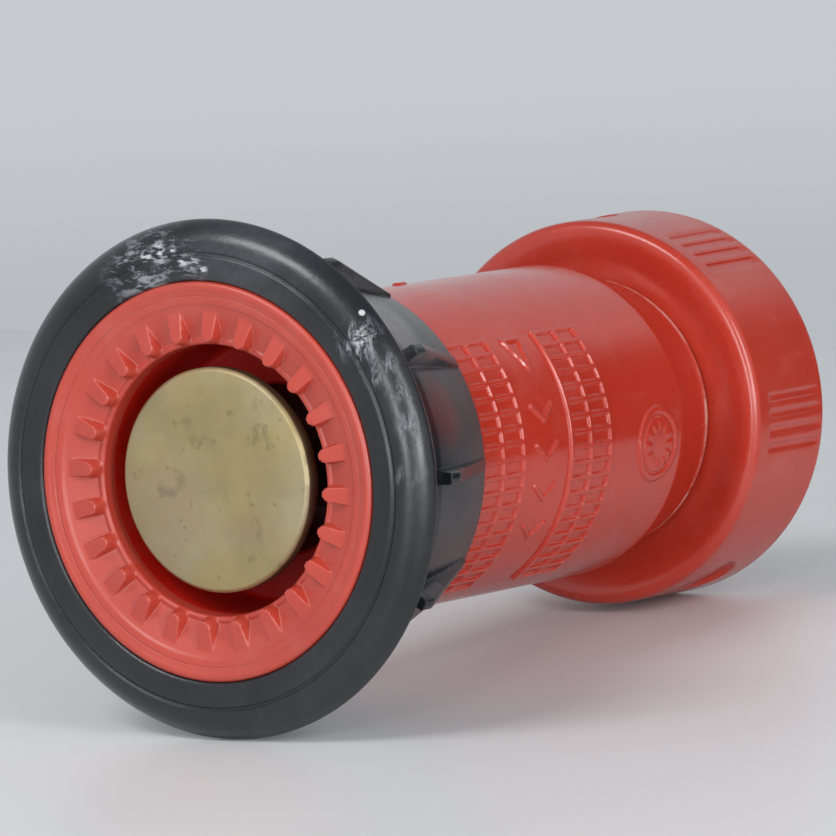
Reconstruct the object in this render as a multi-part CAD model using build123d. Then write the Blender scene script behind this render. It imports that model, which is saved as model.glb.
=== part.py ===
"""Adjustable fog nozzle for a 1-1/2 inch fire hose.

Lengths are in millimetres.  Every piece is drawn about a nozzle axis that is
local Z, with the hose inlet face at Z = 0 and the spray end up.  It is laid
down at the end: the axis becomes world Y, the spray end looks to -Y and the
local Y direction becomes up.  Angles named clock_... are read from the top of
the nozzle, towards the right as seen from the spray end.
"""
import os

from build123d import *

# ---- lengths along the nozzle, from the hose inlet face ----
ring_plane = 139.5          # front plane of the barrel lip
coupling_length = 23.3
coupling_face = 21.6        # dished face around the neck
spigot_end = 101.5
skirt_rear = ring_plane - 36.3
barrel_rear = 22.2          # rear edge of the barrel, fully screwed back
shoulder = 37.5             # where the barrel begins to taper in
spider_seat = 67.5

# ---- hose thread, 1.5-9 NH ----
thread_crest = 23.9
thread_root = 25.43
thread_pitch = 25.4 / 9
thread_end = 12.4           # the wall of thread crests begins at the inlet face
relief_radius = 25.9
gasket_seat = 17.4
gasket_thickness = 3.2

# ---- coupling ----
coupling_front_radius = 33.85
coupling_rear_radius = 34.62
grip_groove_clocks = (35.2, 93.5, 215.2, 273.5)
grip_groove_spacing = 4.9
grip_groove_half_angle = 1.45
grip_groove_depth = 0.3
grip_groove_ends = (1.8, 19.0)
recess_clocks = (-8, 152)
recess_radius = 5.6
recess_floor = 32.6
recess_height = 11.5
waterway = 16.0
spigot_bore = 15.2
spigot_radius = 20.0
spigot_root = 19.2

# ---- barrel screw on the spigot: three starts ----
screw_lead = 16.0
screw_starts = 3
screw_crest = 20.7
ridge_width = 2.2
screw_bottom = 29.5
screw_top = 71.5

# ---- barrel ----
barrel_front_radius = 26.21
barrel_draft = 0.01425
barrel_bore = 20.3
barrel_screw_bore = 21.0
lip_radius = 31.1
lip_groove_radius = 29.8
ring_seat_radius = 28.9
ring_depth = 5.6
mouth_bore = 21.2
throat = 13.5
seat_plane = ring_plane - 20.5
oring_groove_radius = 22.4
oring_groove_half = 1.5
oring_radius = 21.2
oring_section = 1.1
oring_places = (ring_plane - 55.5, ring_plane - 61.5)

# ---- fog ring ----
tooth_count = 24
tooth_width = 2.9
tooth_inner = 21.4
tooth_outer = 27.9
tooth_first_clock = 4.5
tooth_nose_top = ring_plane - 0.5
tooth_tail_top = ring_plane - 2.27
ring_edge = ring_plane - 0.62

# ---- bumper ----
bumper_radius = 40.6
skirt_root = ring_plane - 13.4
skirt_end_radius = 28.94
lug_count = 11
lug_first_clock = 25.5
lug_width = 2.2
lug_front_top = (36.8, ring_plane - 15.4)
lug_rear_top = (30.2, ring_plane - 34.8)

# ---- brass head and stem ----
head_radius = 17.6
head_face = ring_plane - 3.17
head_back = ring_plane - 8.2
seal_inner = 11.0
seal_outer = 15.3
seal_thickness = 1.8
stem_radius = 4.0
clamp_thickness = 1.4
hub_front = ring_plane - 70.0
hub_back = ring_plane - 86.0
spider_length = 8.0
washer_thickness = 1.2
lock_washer_thickness = 1.7
nut_height = 6.6
nut_across_flats = 12.7

# ---- raised marks on the barrel ----
cell_angle = 5.5
cell_gap_angle = 3.3
cell_count = 18
panel_first_clock = 48.5
rib_width = 1.1
rib_height = 0.5
mark_height = 0.4
mark_stroke = 1.0
marks_plane = ring_plane - 58.8
triangle_clock = 55.5
chevron_clocks = (78, 92, 106.5, 121.5)
pad_clock = 96.5
pad_plane = ring_plane - 94.0
pad_radius = 6.7
pad_circle = (4.7, 5.3)
pip_clock = -4
pip_plane = ring_plane - 61.0
band_step = 6.1
band_fronts = (ring_plane - 39.6, ring_plane - 66.3)


def turned(*points):
    """Solid of revolution from a closed outline of (radius, height) points."""
    outline = Plane.XZ * make_face(Polyline(*points, close=True))
    return revolve(outline, Axis.Z, 360)


def at_clock(shape, clock):
    """Turn a shape that was drawn along +X so that it points at a clock angle."""
    return Rot(0, 0, 90 - clock) * shape


def sector(points, clock_from, clock_to):
    """Part of a turned shape, from one clock angle to another."""
    outline = Plane.XZ * make_face(Polyline(*points, close=True))
    arc = revolve(outline, Axis.Z, clock_to - clock_from)
    return Rot(0, 0, 90 - clock_to) * arc


def ring(inner, outer, bottom, top):
    """Plain washer or sleeve."""
    return turned((inner, bottom), (outer, bottom), (outer, top), (inner, top))


def helical_bar(inner, outer, width, bottom, height, start_angle):
    """Square-section ridge that follows the barrel screw."""
    middle = (inner + outer) / 2
    path = Helix(pitch=screw_lead, height=height, radius=middle)
    section = Plane(origin=path @ 0, x_dir=(1, 0, 0), z_dir=path % 0) * Rectangle(outer - inner, width)
    bar = sweep(section, path=path, is_frenet=True)
    return Pos(0, 0, bottom) * Rot(0, 0, start_angle) * bar


def barrel_radius(height):
    """Outside of the barrel: it widens slightly from the bumper to the shoulder."""
    return barrel_front_radius + (skirt_rear - height) * barrel_draft


def coupling_radius(height):
    """Outside of the coupling: it narrows slightly towards the barrel."""
    return coupling_rear_radius + (coupling_front_radius - coupling_rear_radius) * height / coupling_length


def make_base():
    """Inlet coupling and spigot, moulded in one piece."""
    body = turned(
        (33.6, 0),
        (34.3, 0.3),
        (coupling_radius(1.0), 1.0),
        (coupling_radius(21.9), 21.9),
        (33.5, 22.8),
        (32.9, 23.2),
        (32.2, coupling_length),
        (31.4, 23.1),
        (30.2, 22.2),
        (28.6, 21.75),
        (26.0, coupling_face),
        (spigot_radius, coupling_face),
        (spigot_radius, screw_bottom - 0.8),
        (spigot_root, screw_bottom),
        (spigot_root, screw_top),
        (spigot_radius, screw_top + 0.8),
        (spigot_radius, spigot_end - 0.8),
        (spigot_radius - 0.8, spigot_end),
        (spigot_bore + 0.8, spigot_end),
        (spigot_bore, spigot_end - 0.8),
        (spigot_bore, spider_seat),
        (waterway, spider_seat),
        (waterway, spider_seat - spider_length),
        (waterway + 0.85, spider_seat - spider_length),
        (waterway + 0.85, spider_seat - spider_length - 1.4),
        (waterway, spider_seat - spider_length - 1.4),
        (waterway, gasket_seat),
        (relief_radius, gasket_seat),
        (relief_radius, thread_end),
        (thread_crest, thread_end),
        (thread_crest, 0),
    )
    cuts = [hose_thread_cutter()]
    for group_clock in grip_groove_clocks:
        for place in (-1.5, -0.5, 0.5, 1.5):
            cuts.append(grip_groove(group_clock + place * grip_groove_spacing))
    for recess_clock in recess_clocks:
        cuts.append(spanner_recess(recess_clock))
    body = body - cuts
    ridges = []
    for start in range(screw_starts):
        ridge = helical_bar(
            spigot_root - 0.5, screw_crest, ridge_width,
            screw_bottom + 1.6, screw_top - screw_bottom - 3.2, start * 360 / screw_starts,
        )
        ridges.append(ridge)
    return body + ridges


def hose_thread_cutter():
    """Helical groove of the hose thread, running out into the relief at both ends."""
    run_out = 0.8
    path = Helix(pitch=thread_pitch, height=thread_end + 2 * run_out, radius=thread_crest)
    depth = thread_root - thread_crest
    overlap = 0.4
    half_root = 0.05
    half_mouth = half_root + (depth + overlap) * 0.556
    profile = make_face(Polyline(
        (-overlap, -half_mouth),
        (depth, -half_root),
        (depth, half_root),
        (-overlap, half_mouth),
        close=True,
    ))
    section = Plane(origin=path @ 0, x_dir=(1, 0, 0), z_dir=path % 0) * profile
    return Pos(0, 0, -run_out) * sweep(section, path=path, is_frenet=True)


def grip_groove(clock):
    """Shallow axial groove in the outside of the coupling, sloped at both ends."""
    rear, front = grip_groove_ends
    clear = 1.0
    points = (
        (coupling_radius(rear) + clear, rear - clear),
        (coupling_radius(front) + clear, front + clear),
        (coupling_radius(front) - grip_groove_depth, front - grip_groove_depth),
        (coupling_radius(rear) - grip_groove_depth, rear + grip_groove_depth),
    )
    return sector(points, clock - grip_groove_half_angle, clock + grip_groove_half_angle)


def spanner_recess(clock):
    """Round pocket for a pin spanner."""
    reach = 10
    cutter = Pos(recess_floor + reach / 2, 0, recess_height) * Rot(0, 90, 0) * Cylinder(recess_radius, reach)
    return at_clock(cutter, clock)


def make_barrel():
    """Barrel that the firefighter turns, with its grip marks and screw lugs."""
    outside = [
        (ring_seat_radius, ring_edge),
        (30.1, ring_plane - 0.08),
        (30.5, ring_plane),
        (30.85, ring_plane - 0.12),
        (lip_radius, ring_plane - 0.45),
        (lip_radius, ring_plane - 7.0),
        (lip_groove_radius, ring_plane - 7.4),
        (lip_groove_radius, ring_plane - 9.2),
        (lip_radius, ring_plane - 9.6),
        (lip_radius, ring_plane - 10.6),
        (barrel_radius(skirt_root), skirt_root),
        (barrel_radius(shoulder + 3.5), shoulder + 3.5),
        (27.02, shoulder + 1.2),
        (26.72, shoulder - 1.2),
        (26.25, shoulder - 3.4),
        (23.75, barrel_rear + 0.9),
        (23.5, barrel_rear + 0.25),
        (23.2, barrel_rear),
    ]
    inside = [
        (21.4, barrel_rear),
        (barrel_screw_bore, barrel_rear + 1.0),
        (barrel_screw_bore, ring_plane - 65.5),
        (barrel_bore, ring_plane - 64.8),
    ]
    for place in reversed(oring_places):
        inside += [
            (barrel_bore, place - oring_groove_half),
            (oring_groove_radius, place - oring_groove_half),
            (oring_groove_radius, place + oring_groove_half),
            (barrel_bore, place + oring_groove_half),
        ]
    inside += [
        (barrel_bore, ring_plane - 31.0),
        (19.4, ring_plane - 29.2),
        (throat, ring_plane - 25.0),
        (throat, seat_plane - 0.5),
        (throat + 0.5, seat_plane),
        (mouth_bore - 1.2, seat_plane),
        (mouth_bore - 0.35, seat_plane + 0.35),
        (mouth_bore, seat_plane + 1.2),
        (mouth_bore, ring_plane - ring_depth),
        (ring_seat_radius, ring_plane - ring_depth),
    ]
    barrel = turned(*outside, *inside)
    additions = []
    for side in (0, 180):
        for band_front in band_fronts:
            additions.append(grip_band(band_front, panel_first_clock + side))
        additions += opening_marks(side)
    additions.append(round_pad())
    additions.append(index_pip())
    additions += screw_lugs()
    return barrel + additions


def skin(low, high, inner_lift, outer_lift):
    """Outline that follows the barrel's outside between two heights."""
    return (
        (barrel_radius(low) + inner_lift, low),
        (barrel_radius(low) + outer_lift, low),
        (barrel_radius(high) + outer_lift, high),
        (barrel_radius(high) + inner_lift, high),
    )


def grip_band(band_front, first_clock):
    """Band of raised ribs, two cells wide, over part of the barrel."""
    band_rear = band_front - 2 * band_step
    last_clock = first_clock + cell_count * cell_angle
    half_rib = rib_width / 2
    band_outline = skin(band_rear - half_rib, band_front + half_rib, -0.3, rib_height)
    band = sector(band_outline, first_clock, last_clock)
    cells = []
    for column in (0, 1):
        low = band_rear + column * band_step + half_rib
        high = low + band_step - rib_width
        cell_outline = skin(low, high, 0.0, 2.0)
        first_cell = sector(cell_outline, -cell_gap_angle / 2, cell_gap_angle / 2)
        for index in range(cell_count):
            cell_clock = first_clock + (index + 0.5) * cell_angle
            cells.append(Rot(0, 0, -cell_clock) * first_cell)
    return band - cells


def raised_mark(flat_outline, clock, height):
    """Flat outline wrapped on the barrel: x runs around it and y runs along it."""
    reach = 12
    column = extrude(Plane.YZ.offset(barrel_bore) * flat_outline, reach)
    column = at_clock(Pos(0, 0, height) * column, clock)
    shell = turned(*skin(height - reach, height + reach, -0.3, mark_height))
    return column & shell


def opening_marks(side):
    """Triangle and a row of chevrons that show which way the barrel opens."""
    outer = make_face(Polyline((2.7, -2.5), (2.7, 2.5), (-2.9, 0), close=True))
    triangle = outer - offset(outer, -0.8)
    marks = [raised_mark(triangle, triangle_clock + side, marks_plane)]
    half_length = 3.0
    half_width = 1.5
    chevron = make_face(Polyline(
        (half_width, -half_length),
        (half_width - mark_stroke, -half_length),
        (-half_width, 0),
        (half_width - mark_stroke, half_length),
        (half_width, half_length),
        (mark_stroke - half_width, 0),
        close=True,
    ))
    for clock in chevron_clocks:
        marks.append(raised_mark(chevron, clock + side, marks_plane))
    return marks


def round_pad():
    """Plain round pad with a sunken circle."""
    pad = Circle(pad_radius) - (Circle(pad_circle[1]) - Circle(pad_circle[0]))
    return raised_mark(pad, pad_clock, pad_plane)


def index_pip():
    """Small pip at the top of the barrel."""
    return raised_mark(Rectangle(1.4, 2.2), pip_clock, pip_plane)


def screw_lugs():
    """Three short lugs that ride between the ridges of the spigot screw."""
    lug_middle = ring_plane - 92.0
    lug_height = 2.6
    half_pitch_turn = 180 / screw_starts
    run_in = (lug_middle - lug_height / 2 - screw_bottom - 1.6) / screw_lead * 360
    lugs = []
    for start in range(screw_starts):
        angle = start * 360 / screw_starts + run_in + half_pitch_turn
        lugs.append(helical_bar(
            spigot_root + 0.35, barrel_screw_bore + 0.6, 2.3,
            lug_middle - lug_height / 2, lug_height, angle,
        ))
    return lugs


def make_fog_ring():
    """Toothed ring that breaks the stream up into fog."""
    back = ring_plane - ring_depth
    cone_inner = ring_plane - 3.7
    ring_body = turned(
        (mouth_bore, back),
        (ring_seat_radius, back),
        (ring_seat_radius, ring_edge),
        (mouth_bore + 1.1, cone_inner),
        (mouth_bore + 0.9, cone_inner + 0.08),
        (mouth_bore + 0.55, cone_inner + 0.15),
        (mouth_bore + 0.15, cone_inner - 0.15),
        (mouth_bore, cone_inner - 0.5),
    )
    half_width = tooth_width / 2
    plan = Pos((tooth_inner + half_width + tooth_outer) / 2, 0) * Rectangle(
        tooth_outer - tooth_inner - half_width, tooth_width
    )
    plan = plan + Pos(tooth_inner + half_width, 0) * Circle(half_width)
    root = back + 1.0
    tooth = Pos(0, 0, root) * extrude(plan, tooth_nose_top - root + 1.0)
    side_view = Plane.XZ * make_face(Polyline(
        (tooth_inner - 1, root),
        (tooth_outer + 1, root),
        (tooth_outer, tooth_tail_top),
        (tooth_inner, tooth_nose_top),
        (tooth_inner - 1, tooth_nose_top),
        close=True,
    ))
    tooth = tooth & extrude(side_view, tooth_width, both=True)
    tooth = fillet(tooth.faces().sort_by(Axis.Z)[-1].edges(), 0.7)
    teeth = []
    for index in range(tooth_count):
        teeth.append(at_clock(tooth, tooth_first_clock + index * 360 / tooth_count))
    return ring_body + teeth


def make_bumper():
    """Rubber bumper: a thick roll at the front and a ribbed skirt behind it."""
    front = ring_plane
    crease = (36.2, front + 0.3)
    widest = (bumper_radius, front - 3.8)
    roll_back = (36.6, front - 8.5)
    groove_foot = (33.3, skirt_root)
    lip_inner = (lip_radius, front - 0.9)
    skirt_end = (skirt_end_radius, skirt_rear + 0.35)
    outline = [
        Line(lip_inner, (lip_radius + 0.5, front - 0.2)),
        ThreePointArc((lip_radius + 0.5, front - 0.2), (34.0, front + 0.25), crease),
        ThreePointArc(crease, (38.85, front - 1.25), widest),
        ThreePointArc(widest, (39.3, front - 5.95), roll_back),
        ThreePointArc(roll_back, (34.3, front - 10.6), groove_foot),
        ThreePointArc(groove_foot, (31.5, front - 25.0), skirt_end),
        Line(skirt_end, (28.6, skirt_rear)),
        Line((28.6, skirt_rear), (barrel_radius(skirt_rear), skirt_rear)),
        Line((barrel_radius(skirt_rear), skirt_rear), (barrel_radius(skirt_root), skirt_root)),
        Line((barrel_radius(skirt_root), skirt_root), (lip_radius, front - 10.6)),
        Line((lip_radius, front - 10.6), (lip_radius, front - 9.6)),
        Line((lip_radius, front - 9.6), (lip_groove_radius, front - 9.2)),
        Line((lip_groove_radius, front - 9.2), (lip_groove_radius, front - 7.4)),
        Line((lip_groove_radius, front - 7.4), (lip_radius, front - 7.0)),
        Line((lip_radius, front - 7.0), lip_inner),
    ]
    body = revolve(Plane.XZ * make_face(outline), Axis.Z, 360)
    lug_outline = Plane.XZ * make_face(Polyline(
        (29.5, front - 15.8),
        (36.4, front - 14.4),
        lug_front_top,
        lug_rear_top,
        (28.0, front - 35.2),
        close=True,
    ))
    lug = extrude(lug_outline, lug_width / 2, both=True)
    side_edges = lug.edges().filter_by(lambda edge: abs(edge.center().Y) > lug_width / 4)
    top_edges = side_edges.filter_by(lambda edge: edge.center().X > 31.5)
    lug = fillet(top_edges, 0.55)
    lugs = []
    for index in range(lug_count):
        lugs.append(at_clock(lug, lug_first_clock + index * 360 / lug_count))
    return body + lugs


def make_head():
    """Brass baffle head that faces the fire."""
    rim_front = head_face - 0.6
    rim_back = head_face - 2.4
    seal_floor = head_back + seal_thickness
    return turned(
        (0, head_face),
        (head_radius - 0.65, head_face),
        (head_radius, rim_front),
        (head_radius, rim_back),
        (seal_outer + 0.9, head_back + 0.2),
        (seal_outer, head_back + 0.2),
        (seal_outer, seal_floor),
        (seal_inner, seal_floor),
        (seal_inner, head_back),
        (stem_radius, head_back),
        (stem_radius, head_face - 1.8),
        (0, head_face - 1.8),
    )


def make_stem():
    """Brass stem from the head to the spider, slotted for a screwdriver."""
    clamp_back = head_back - clamp_thickness
    stem_end = ring_plane - 98.0
    stem = turned(
        (0, head_face - 1.9),
        (stem_radius - 0.4, head_face - 1.9),
        (stem_radius, head_face - 2.3),
        (stem_radius, clamp_back),
        (5.6, clamp_back),
        (5.6, clamp_back - 3.0),
        (stem_radius, clamp_back - 4.2),
        (stem_radius, hub_front + 3.6),
        (6.0, hub_front + 2.4),
        (6.0, hub_front),
        (stem_radius, hub_front),
        (stem_radius, stem_end + 0.5),
        (stem_radius - 0.5, stem_end),
        (0, stem_end),
    )
    slot = Pos(0, 0, stem_end) * Box(12, 1.2, 2.4)
    return stem - slot


def make_spider():
    """Three-legged hub that carries the stem in the waterway."""
    seat_back = spider_seat - spider_length
    hub = ring(stem_radius, 7.0, hub_back, hub_front)
    rim = ring(13.9, waterway, seat_back, spider_seat)
    legs = []
    leg_root = 6.5
    leg_length = 7.7
    leg_place = Pos(leg_root + leg_length / 2, 0, seat_back + spider_length / 2)
    for clock in (0, 120, 240):
        leg = leg_place * Box(leg_length, 2.4, spider_length)
        leg = fillet(leg.edges().filter_by(Axis.X), 0.8)
        legs.append(at_clock(leg, clock))
    return hub + rim + legs


def make_snap_ring():
    """Split retaining ring behind the spider."""
    top = spider_seat - spider_length
    split = ring(14.5, waterway + 0.75, top - 1.2, top)
    gap = Pos(0, -15.5, top) * Box(7.0, 6.0, 4.0)
    return split - gap


def make_nut():
    """Hexagon nut on the back of the stem."""
    low = hub_back - washer_thickness - lock_washer_thickness - nut_height
    hexagon = RegularPolygon(nut_across_flats / 2, 6, major_radius=False)
    nut = Pos(0, 0, low) * extrude(hexagon, nut_height)
    corner = nut_across_flats / 3 ** 0.5
    chamfered = turned(
        (0, low), (corner - 1.2, low), (corner, low + 0.7),
        (corner, low + nut_height - 0.7), (corner - 1.2, low + nut_height), (0, low + nut_height),
    )
    return (nut & chamfered) - Pos(0, 0, low + nut_height / 2) * Cylinder(stem_radius, nut_height + 2)


def make_lock_washer():
    """Split spring washer under the nut."""
    high = hub_back - washer_thickness
    low = high - lock_washer_thickness
    washer = ring(stem_radius + 0.1, 6.9, low, high)
    cut = Pos(5.5, 0, (low + high) / 2) * Rot(30, 0, 0) * Box(5, 0.8, 6)
    return washer - cut


pieces = {
    "inlet_base": make_base(),
    "hose_gasket": ring(18.6, relief_radius - 0.3, gasket_seat - gasket_thickness, gasket_seat),
    "stem_spider": make_spider(),
    "spider_snap_ring": make_snap_ring(),
    "baffle_stem": make_stem(),
    "stem_washer": ring(stem_radius + 0.1, 8.4, hub_back - washer_thickness, hub_back),
    "stem_lock_washer": make_lock_washer(),
    "stem_nut": make_nut(),
    "baffle_head": make_head(),
    "shutoff_seal": ring(seal_inner, seal_outer, head_back, head_back + seal_thickness),
    "seal_clamp_washer": ring(stem_radius, 12.4, head_back - clamp_thickness, head_back),
    "barrel": make_barrel(),
    "fog_ring": make_fog_ring(),
    "bumper": make_bumper(),
    "barrel_o_ring_front": Pos(0, 0, oring_places[0]) * Torus(oring_radius, oring_section),
    "barrel_o_ring_rear": Pos(0, 0, oring_places[1]) * Torus(oring_radius, oring_section),
}

os.makedirs("parts", exist_ok=True)
for name, piece in pieces.items():
    laid_down = Rot(90, 0, 0) * piece
    export_step(laid_down, f"parts/{name}.step")
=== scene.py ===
"""Looks of the fog nozzle: fine meshes, materials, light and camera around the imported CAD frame.

Shapes are worked out in millimetres about the nozzle axis.  A point has a radius, a clock angle
(0 at the top, 90 at the right as seen from the spray end) and a depth behind the mouth.
"""
import math
import bmesh
import bpy
import numpy as np
from mathutils import Matrix, Vector


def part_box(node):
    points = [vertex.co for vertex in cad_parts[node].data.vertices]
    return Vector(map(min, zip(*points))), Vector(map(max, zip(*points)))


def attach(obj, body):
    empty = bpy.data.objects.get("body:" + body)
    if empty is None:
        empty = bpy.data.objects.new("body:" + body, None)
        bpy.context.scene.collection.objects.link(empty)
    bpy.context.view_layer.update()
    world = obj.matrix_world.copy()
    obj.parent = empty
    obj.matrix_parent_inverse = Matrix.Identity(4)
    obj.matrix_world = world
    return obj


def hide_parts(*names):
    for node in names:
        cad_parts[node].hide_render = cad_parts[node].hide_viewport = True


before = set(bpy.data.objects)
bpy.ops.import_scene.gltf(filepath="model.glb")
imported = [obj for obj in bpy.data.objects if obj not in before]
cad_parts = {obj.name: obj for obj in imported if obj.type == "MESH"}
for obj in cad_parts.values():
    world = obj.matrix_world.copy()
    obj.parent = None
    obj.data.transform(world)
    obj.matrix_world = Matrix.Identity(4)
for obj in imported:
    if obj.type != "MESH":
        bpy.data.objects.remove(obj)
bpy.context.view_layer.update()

MM = 0.001
mouth_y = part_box("barrel")[0].y
nozzle_length = (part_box("inlet_base")[1].y - mouth_y) / MM
bumper_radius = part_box("bumper")[1].x / MM
skirt_depth = (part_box("bumper")[1].y - mouth_y) / MM
barrel_depth = (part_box("barrel")[1].y - mouth_y) / MM
coupling_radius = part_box("inlet_base")[1].x / MM
lip_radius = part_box("barrel")[1].x / MM
ring_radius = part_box("fog_ring")[1].x / MM
ring_back = (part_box("fog_ring")[1].y - mouth_y) / MM
head_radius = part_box("baffle_head")[1].x / MM
head_front = (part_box("baffle_head")[0].y - mouth_y) / MM
head_back = (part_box("baffle_head")[1].y - mouth_y) / MM
bore_radius = 21.2
lip_edge = 0.4

# Groove behind the barrel's lip that holds the bumper on.
lip_groove_radius = lip_radius - 1.3
lip_groove = [
    (lip_radius, 7.0), (lip_groove_radius, 7.4), (lip_groove_radius, 9.2),
    (lip_radius, 9.6), (lip_radius, 10.6),
]


# ------------------------------------------------------------ shape helpers

def place(radius, clock, depth):
    """World position, in metres, of a point on the nozzle."""
    angle = np.radians(clock)
    x = radius * np.sin(angle) * MM
    z = radius * np.cos(angle) * MM
    return np.stack([x, mouth_y + depth * MM, z], axis=-1)


def smooth(value, low, high):
    """0 below low, 1 above high and a soft step between."""
    t = np.clip((value - low) / (high - low), 0.0, 1.0)
    return t * t * (3 - 2 * t)


def around(clock, middle):
    """Signed angle from a middle clock angle, between -180 and 180."""
    return (clock - middle + 180) % 360 - 180


def box_step(distance, half, soft):
    """1 inside a band that is half wide each way, with soft sides inside it."""
    return smooth(half - np.abs(distance), 0.0, soft)


def stroke_step(x, y, start, end, half, soft):
    """1 along a straight stroke with round ends."""
    dx, dy = end[0] - start[0], end[1] - start[1]
    t = np.clip(((x - start[0]) * dx + (y - start[1]) * dy) / (dx * dx + dy * dy), 0, 1)
    distance = np.hypot(x - start[0] - t * dx, y - start[1] - t * dy)
    return smooth(half - distance, 0.0, soft)


def arc(start, middle, end, steps):
    """Points on the circle through three points, from the first to the last."""
    (ax, ay), (bx, by), (cx, cy) = start, middle, end
    a, b, c = ax**2 + ay**2, bx**2 + by**2, cx**2 + cy**2
    d = 2 * (ax * (by - cy) + bx * (cy - ay) + cx * (ay - by))
    ux = (a * (by - cy) + b * (cy - ay) + c * (ay - by)) / d
    uy = (a * (cx - bx) + b * (ax - cx) + c * (bx - ax)) / d
    radius = math.hypot(ax - ux, ay - uy)
    angles = np.unwrap([math.atan2(y - uy, x - ux) for x, y in (start, middle, end)])
    turns = np.linspace(angles[0], angles[2], steps)
    return [(ux + radius * math.cos(t), uy + radius * math.sin(t)) for t in turns]


def rows_between(start, end, step):
    """Points along a straight stretch of outline, no further apart than a step."""
    count = max(2, int(math.ceil(math.dist(start, end) / step)) + 1)
    dx, dy = end[0] - start[0], end[1] - start[1]
    return [(start[0] + dx * t, start[1] + dy * t) for t in np.linspace(0, 1, count)]


def outline(*parts):
    """One closed outline from stretches of points, with repeated points left out."""
    points = []
    for part in parts:
        for point in part if isinstance(part, list) else [part]:
            if not points or math.dist(points[-1], point) > 1e-4:
                points.append(point)
    if math.dist(points[0], points[-1]) < 1e-4:
        points.pop()
    return np.array(points)


def clocks(features, step):
    """Sorted clock angles: the feature lines, and plain ones where those are further apart than a step."""
    marks = sorted(set(round(angle % 360, 4) for angle in features))
    lines = []
    for first, second in zip(marks, marks[1:] + [marks[0] + 360]):
        count = max(1, int(math.ceil((second - first) / step)))
        lines += [first + (second - first) * k / count for k in range(count)]
    return np.array(lines)


def point_table(profile, lines):
    """Radius, clock angle and depth tables: one row a point of the outline, one column a clock line."""
    radius = np.repeat(profile[:, :1], len(lines), axis=1)
    depth = np.repeat(profile[:, 1:], len(lines), axis=1)
    clock = np.repeat(lines[None, :], len(profile), axis=0)
    return radius, clock, depth


def sheet_of_quads(name, points, material, sharp=35.0):
    """Closed piece from a table of points that wraps round both ways."""
    rows, columns = points.shape[:2]
    row, column = np.meshgrid(np.arange(rows), np.arange(columns), indexing="ij")
    next_row = (row + 1) % rows
    next_column = (column + 1) % columns
    quads = np.stack([
        row * columns + column, row * columns + next_column,
        next_row * columns + next_column, next_row * columns + column,
    ], axis=-1).reshape(-1, 4)
    mesh = bpy.data.meshes.new(name)
    mesh.from_pydata(points.reshape(-1, 3).tolist(), [], quads.tolist())
    shape = bmesh.new()
    shape.from_mesh(mesh)
    bmesh.ops.remove_doubles(shape, verts=shape.verts, dist=2e-6)
    bmesh.ops.dissolve_degenerate(shape, edges=shape.edges, dist=1e-6)
    bmesh.ops.recalc_face_normals(shape, faces=shape.faces)
    shape.to_mesh(mesh)
    shape.free()
    mesh.shade_smooth()
    mesh.set_sharp_from_angle(angle=math.radians(sharp))
    mesh.materials.append(material)
    piece = bpy.data.objects.new(name, mesh)
    bpy.context.scene.collection.objects.link(piece)
    return piece


def stand_in(piece, body, node):
    """Let a fine mesh stand for a CAD node."""
    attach(piece, body)
    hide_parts(node)


# ------------------------------------------------------------- node helpers

class Nodes:
    """Short way to write a node tree."""

    def __init__(self, tree):
        self.tree = tree
        tree.nodes.clear()

    def add(self, kind, **settings):
        """New node of a kind, with its own settings such as an operation."""
        node = self.tree.nodes.new(kind)
        for key, value in settings.items():
            setattr(node, key, value)
        return node

    def link(self, source, target):
        """Lead a node's result into a socket."""
        self.tree.links.new(source, target)

    def feed(self, socket, value):
        """Put a number, a colour or another node's result into a socket."""
        if isinstance(value, tuple):
            socket.default_value = (*value, 1.0)
        elif isinstance(value, (int, float)):
            socket.default_value = value
        else:
            self.link(value, socket)

    def ramp(self, value, low, high, from_value=0.0, to_value=1.0):
        """Soft step of a value between two levels."""
        node = self.add("ShaderNodeMapRange", interpolation_type="SMOOTHSTEP")
        node.inputs["From Min"].default_value = low
        node.inputs["From Max"].default_value = high
        node.inputs["To Min"].default_value = from_value
        node.inputs["To Max"].default_value = to_value
        self.link(value, node.inputs["Value"])
        return node.outputs["Result"]

    def math(self, operation, first, second):
        """Sum, product or other operation on two values."""
        node = self.add("ShaderNodeMath", operation=operation)
        self.feed(node.inputs[0], first)
        self.feed(node.inputs[1], second)
        return node.outputs["Value"]

    def times(self, first, second):
        """Product of two values."""
        return self.math("MULTIPLY", first, second)

    def plus(self, first, second):
        """Sum of two values."""
        return self.math("ADD", first, second)

    def mix(self, factor, first, second):
        """Blend of two colours by a factor."""
        node = self.add("ShaderNodeMix", data_type="RGBA")
        self.feed(node.inputs["Factor"], factor)
        self.feed(node.inputs[6], first)
        self.feed(node.inputs[7], second)
        return node.outputs[2]


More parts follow.
